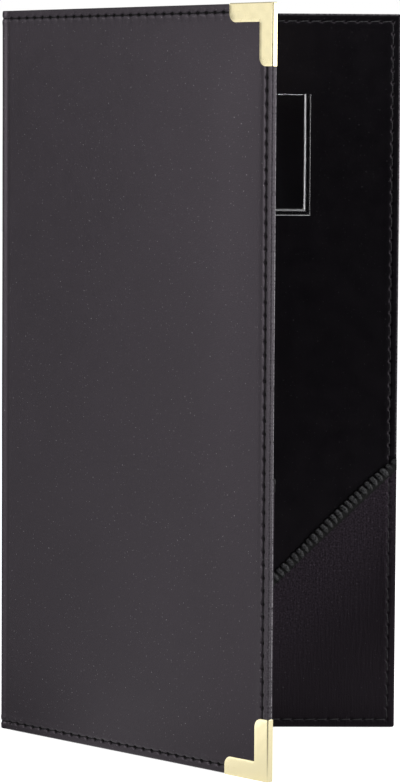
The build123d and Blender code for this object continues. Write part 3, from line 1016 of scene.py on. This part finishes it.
def leatherette(name, tone, wear_and_highlight_tone, roughness, grain, dust, gloss, green=0.87, streak=0.0):
    """Embossed vinyl leather: fine pebbles, slow changes of tone, a lighter tone on rubbed edges
    and as painted highlight and shade where a piece's mask sets it, and specks of dust.
    Grain and streak are depths of relief, and green is the sheen's green part."""
    shader = Shader(name).set(Specular_IOR_Level=gloss, Specular_Tint=rgb((1.0, green, 1.0)))
    cells = {"Vector": shader.uv, "Scale": 260.0}
    pebbles = shader.node("TexVoronoi", cells, "Distance", feature="SMOOTH_F1")
    pores = shader.noise(900.0, 3.0)
    clouds = shader.between(shader.noise(2.6, 4.0), 0.0, 1.0, 0.3, 0.7)
    specks = shader.between(shader.noise(150.0, 1.0), 0.0, 1.0, 0.71, 0.76)
    scuffs = shader.between(shader.noise(150.0, 3.0), 0.05, 1.35, 0.32, 0.68)
    base = shader.mix(clouds, rgb(tone, 0.85), rgb(tone, 1.15))
    base = shader.mix(shader.between(pebbles, 0.0, 0.35, 0.0, 0.5), base, rgb(tone, 0.6))
    # Lighter tone where the piece's mask is set, broken up by scuffs: rubbed edges, and painted
    # highlight and painted shade on some pieces
    base = shader.mix(shader.math("MULTIPLY", shader.wear(), scuffs), base, rgb(wear_and_highlight_tone))
    base = shader.mix(shader.math("MULTIPLY", specks, dust), base, rgb((0.2, 0.19, 0.2)))
    spread = 0.035
    rough = shader.noise(14.0, 5.0)
    rough = shader.between(rough, roughness - spread, roughness + spread, 0.3, 0.7)
    rough = shader.math("ADD", rough, shader.math("MULTIPLY", pebbles, 0.08))
    relief = [(pebbles, grain), (pores, grain * 0.35)]
    if streak:
        relief.append((shader.streaks(110.0, 12.0), streak))
    return shader.finish(base, rough, *relief)


def thread(name, tone, gloss):
    """Spun thread: tight slanting fibres."""
    shader = Shader(name).set(Roughness=0.6, Specular_IOR_Level=gloss)
    inputs = {"Vector": shader.place, "Scale": 2600.0, "Distortion": 3.0, "Detail": 2.0}
    fibres = shader.node("TexWave", inputs, "Fac")
    tint = shader.mix(fibres, rgb(tone, 0.55), rgb(tone, 1.3))
    tint = shader.mix(shader.noise(300.0, source=shader.place), tint, rgb(tone))
    return shader.finish(tint, None, (fibres, 0.03))


def clear_vinyl():
    """Soft clear film: glossy, faintly smoky, milky in its welds, where a painted highlight is
    added to the pale tint, with slow ripples and hair scratches."""
    shader = Shader("clear_vinyl_film").set(IOR=1.5, Specular_IOR_Level=0.5)
    haze_and_highlight = shader.wear()
    # Where the mask is set the film is milky, and its pale tint there is partly a painted highlight
    shader.link(shader.between(haze_and_highlight, 1.0, 0.0), "Transmission Weight")
    tint = shader.mix(haze_and_highlight, rgb((0.98, 0.98, 1.0)), rgb((0.62, 0.62, 0.66)))
    rough = shader.between(shader.streaks(6.0, 900.0, 0.5), 0.035, 0.13, 0.45, 0.75)
    return shader.finish(tint, rough, (shader.noise(9.0, 3.0), 0.12))


def polished_brass():
    """Bright pale gold plate: polished, with faint rub marks and slow waves from the press."""
    shader = Shader("pale_gold_plate").set(Metallic=0.8)
    rub = shader.streaks(60.0, 700.0, 0.7)
    spots = shader.between(shader.noise(55.0, 3.0), 0.0, 1.0, 0.62, 0.75)
    tint = shader.mix(shader.noise(18.0, 3.0), rgb((0.89, 0.79, 0.48)), rgb((0.91, 0.82, 0.53)))
    tint = shader.mix(shader.math("MULTIPLY", spots, 0.35), tint, rgb((0.72, 0.6, 0.3)))
    rough = shader.between(rub, 0.06, 0.12, 0.35, 0.7)
    return shader.finish(tint, rough, (shader.noise(26.0, 2.0), 0.02), (rub, 0.001))


def fibrous(name, tone, scale, depth):
    """Greyboard, foam or woven elastic: matt, and seen only deep inside the needle holes."""
    shader = Shader(name).set(Specular_IOR_Level=0.05)
    fibres = shader.noise(scale, 5.0, 0.65, shader.place)
    tint = shader.mix(fibres, rgb(tone, 0.7), rgb(tone, 1.2))
    return shader.finish(tint, shader.between(fibres, 0.75, 0.95), (fibres, depth))


# ---- the pieces

# The cover's lighter tone is painted highlight along the free edge and beside the seam
cover_material = leatherette(
    "cover_leatherette_black", (0.0105, 0.008, 0.011), (0.055, 0.051, 0.057),
    roughness=0.3, grain=0.03, dust=0.5, gloss=0.25,
)
lining_material = leatherette(
    "inner_lining_black", (0.0022, 0.002, 0.003), (0.31, 0.3, 0.32),
    roughness=0.36, grain=0.012, dust=0.15, gloss=0.3,
)
# The pocket's lighter tone is painted light near its mouth
pocket_material = leatherette(
    "pocket_leatherette_black", (0.0062, 0.0045, 0.0066), (0.052, 0.04, 0.054),
    roughness=0.42, grain=0.06, dust=0.2, gloss=0.16, streak=0.2,
)
# Near-black tone: painted shade in the gaps between ribs; the lighter one is painted highlight on
# the rib tops
binding_material = leatherette(
    "ribbed_binding_black", (0.001, 0.001, 0.001), (0.056, 0.056, 0.059),
    roughness=0.36, grain=0.03, dust=0.0, gloss=0.15, green=1.0,
)
outer_thread = thread("black_thread", (0.004, 0.004, 0.0045), 0.1)
inner_thread = thread("dark_grey_thread", (0.035, 0.034, 0.037), 0.25)
gold = polished_brass()

outer_flat = cover_flat(SKIN_FOLD)
lining_flat = cover_flat(LINING_FOLD)

for panel in PANELS:
    outer = make_outer(panel, cover_material)
    lining = make_lining(panel, lining_material)
    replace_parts(outer, f"{panel.name}_skin", "spine_skin")
    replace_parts(lining, f"{panel.name}_lining", "spine_lining")

    def inner_surface(x, y):
        on_pocket = panel.into_pocket(x, y) > BINDING_WIDTH / 2
        return np.where(on_pocket, pocket_surface(panel, x, y), lining_surface(x, y))

    def clear_of_binding(x, y):
        into = panel.into_pocket(x, y)
        return into < -2.0 or into > BINDING_WIDTH + 2.0

    for side, line, material, surface, sign, shows in (
        ("outer", "needle", outer_thread, lambda x, y: level_sag(x), -1, lambda x, y: True),
        ("inner", "bobbin", inner_thread, inner_surface, 1, clear_of_binding),
    ):
        name = f"{panel.name}_{side}_stitches"
        stitches = make_stitches(panel, name, f"{side}_thread", material, surface, sign, shows)
        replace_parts(stitches, f"{panel.name}_{line}_thread", f"spine_{line}_thread")
    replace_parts(make_pocket(panel, pocket_material), f"{panel.name}_pocket")
    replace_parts(make_binding(panel, binding_material), f"{panel.name}_pocket_binding")

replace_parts(make_card_pocket(clear_vinyl()), "card_pocket")
make_cap("gold_corner_top", True, STACK, gold, "top_corner_cap")
make_cap("gold_corner_bottom", False, STACK + POCKET_SHEET, gold, "bottom_corner_cap")

HIDDEN_PARTS = {
    "board": fibrous("grey_board", (0.2, 0.19, 0.17), 900.0, 0.05),
    "padding": fibrous("black_foam_padding", (0.004, 0.004, 0.004), 1500.0, 0.08),
    "pocket_elastic": fibrous("black_elastic", (0.02, 0.02, 0.02), 1200.0, 0.1),
}
for panel in PANELS:
    for part, material in HIDDEN_PARTS.items():
        mesh = frame["nodes"][f"{panel.name}_{part}"].data
        mesh.materials.clear()
        mesh.materials.append(material)


# ---- studio, in metres

WORLD_LIGHT = 0.4  # on matt surfaces
DARK_SIDE = 0.01  # of the studio in reflections, on the side that faces the object
DIM_SIDE = 0.3  # of the white, on the side behind the object
FLOOR_TONE, FLOOR_GLOW = 0.86, 0.7
FLOOR_REACH = 6.0
AIM = (0.0, 0.0, 0.13)
SOFTBOXES = (  # name, place, size and power
    ("left_softbox", (-1.12, -0.46, 0.5), (0.9, 0.9), 12),
    ("right_softbox", (1.08, -0.33, 0.35), (0.7, 1.1), 8),
    ("top_softbox", (0.15, -0.2, 1.3), (0.6, 0.6), 6),
)
CAMERA_PLACE = (35.95, -1261.03, 213.72)  # from the foot of the back crease, in mm
CAMERA_PITCH, CAMERA_YAW, CAMERA_ROLL = 4.2552, 1.4266, 0.3525
FOCAL_LENGTH = 163.33


def studio_strength(nodes, direction, seen, matt, bright_from):
    """What a ray meets: the camera sees an even background, glossy and transmission rays a white
    studio that is dark towards -Y and dimmer behind the object, and diffuse rays an even light."""
    away = nodes.node("SeparateXYZ", {0: direction}, "Y")
    eased = {"interpolation_type": "SMOOTHSTEP"}
    glow = nodes.between(away, DARK_SIDE, seen, -0.95, bright_from, **eased)
    dimming = nodes.between(away, 1.0, DIM_SIDE, 0.05, 0.35, **eased)
    shaded = nodes.math("MULTIPLY", glow, dimming)
    ray = nodes.tree.nodes.new("ShaderNodeLightPath").outputs
    mirrored = nodes.math("MAXIMUM", ray["Is Glossy Ray"], ray["Is Transmission Ray"])
    reflected = nodes.node("Mix", {0: mirrored, 2: matt, 3: shaded})
    return nodes.node("Mix", {0: ray["Is Camera Ray"], 2: reflected, 3: seen})


def make_world():
    """White studio."""
    world = bpy.data.worlds.new("studio")
    world.use_nodes = True
    scene.world = world
    nodes = Nodes(world.node_tree)
    direction = nodes.node("TexCoord", output="Generated")
    background = nodes.tree.nodes["Background"]
    background.inputs["Color"].default_value = WHITE
    strength = studio_strength(nodes, direction, 1.0, WORLD_LIGHT, -0.3)
    nodes.tree.links.new(strength, background.inputs["Strength"])


def make_floor():
    """Pale floor that keeps the object's shadow."""
    mesh = bpy.data.meshes.new("floor")
    far = FLOOR_REACH
    corners = [(-far, -far, 0), (far, -far, 0), (far, far, 0), (-far, far, 0)]
    mesh.from_pydata(corners, [], [(0, 1, 2, 3)])
    floor = add_object("floor", mesh)
    shader = Shader("pale_floor").set(Roughness=0.9, Specular_IOR_Level=0.0, Emission_Color=WHITE)
    position = shader.node("NewGeometry", output="Position")
    middle = (0, 0, HEIGHT / 2000)
    offset = shader.node("VectorMath", {0: position, 1: middle}, operation="SUBTRACT")
    direction = shader.node("VectorMath", {0: offset}, operation="NORMALIZE")
    tone = studio_strength(shader, direction, FLOOR_TONE, FLOOR_TONE, 0.1)
    glow = studio_strength(shader, direction, FLOOR_GLOW, 0.0, 0.1)
    shader.link(tone, "Base Color")
    shader.link(glow, "Emission Strength")
    mesh.materials.append(shader.material)


def make_softbox(name, place, size, power):
    """A rectangular area lamp that faces the object."""
    lamp = bpy.data.lights.new(name, "AREA")
    lamp.shape = "RECTANGLE"
    lamp.size, lamp.size_y = size
    lamp.energy = power
    piece = add_object(name, lamp)
    piece.location = place
    piece.rotation_mode = "QUATERNION"
    piece.rotation_quaternion = (Vector(AIM) - Vector(place)).to_track_quat("-Z", "Y")


def make_camera():
    """The photograph's camera."""
    data = bpy.data.cameras.new("camera")
    data.lens = FOCAL_LENGTH
    data.sensor_width = 36.0
    data.clip_start, data.clip_end = 0.05, 30.0
    camera = add_object("camera", data)
    pitch, yaw, roll = (radians(a) for a in (CAMERA_PITCH, CAMERA_YAW, CAMERA_ROLL))
    level = Vector((sin(yaw), cos(yaw), 0)) * cos(pitch)
    ahead = level - Vector((0, 0, sin(pitch)))
    right = Vector((cos(yaw), -sin(yaw), 0))
    up = right.cross(ahead)
    rolled_right = right * cos(roll) + up * sin(roll)
    rolled_up = up * cos(roll) - right * sin(roll)
    camera.matrix_world = Matrix((rolled_right, rolled_up, -ahead)).transposed().to_4x4()
    foot = Vector((*back.crease, BASE))
    camera.location = (foot + Vector(CAMERA_PLACE)) / 1000
    bpy.context.scene.camera = camera


make_world()
make_floor()
make_camera()
for softbox in SOFTBOXES:
    make_softbox(*softbox)
scene.view_settings.view_transform = "Standard"
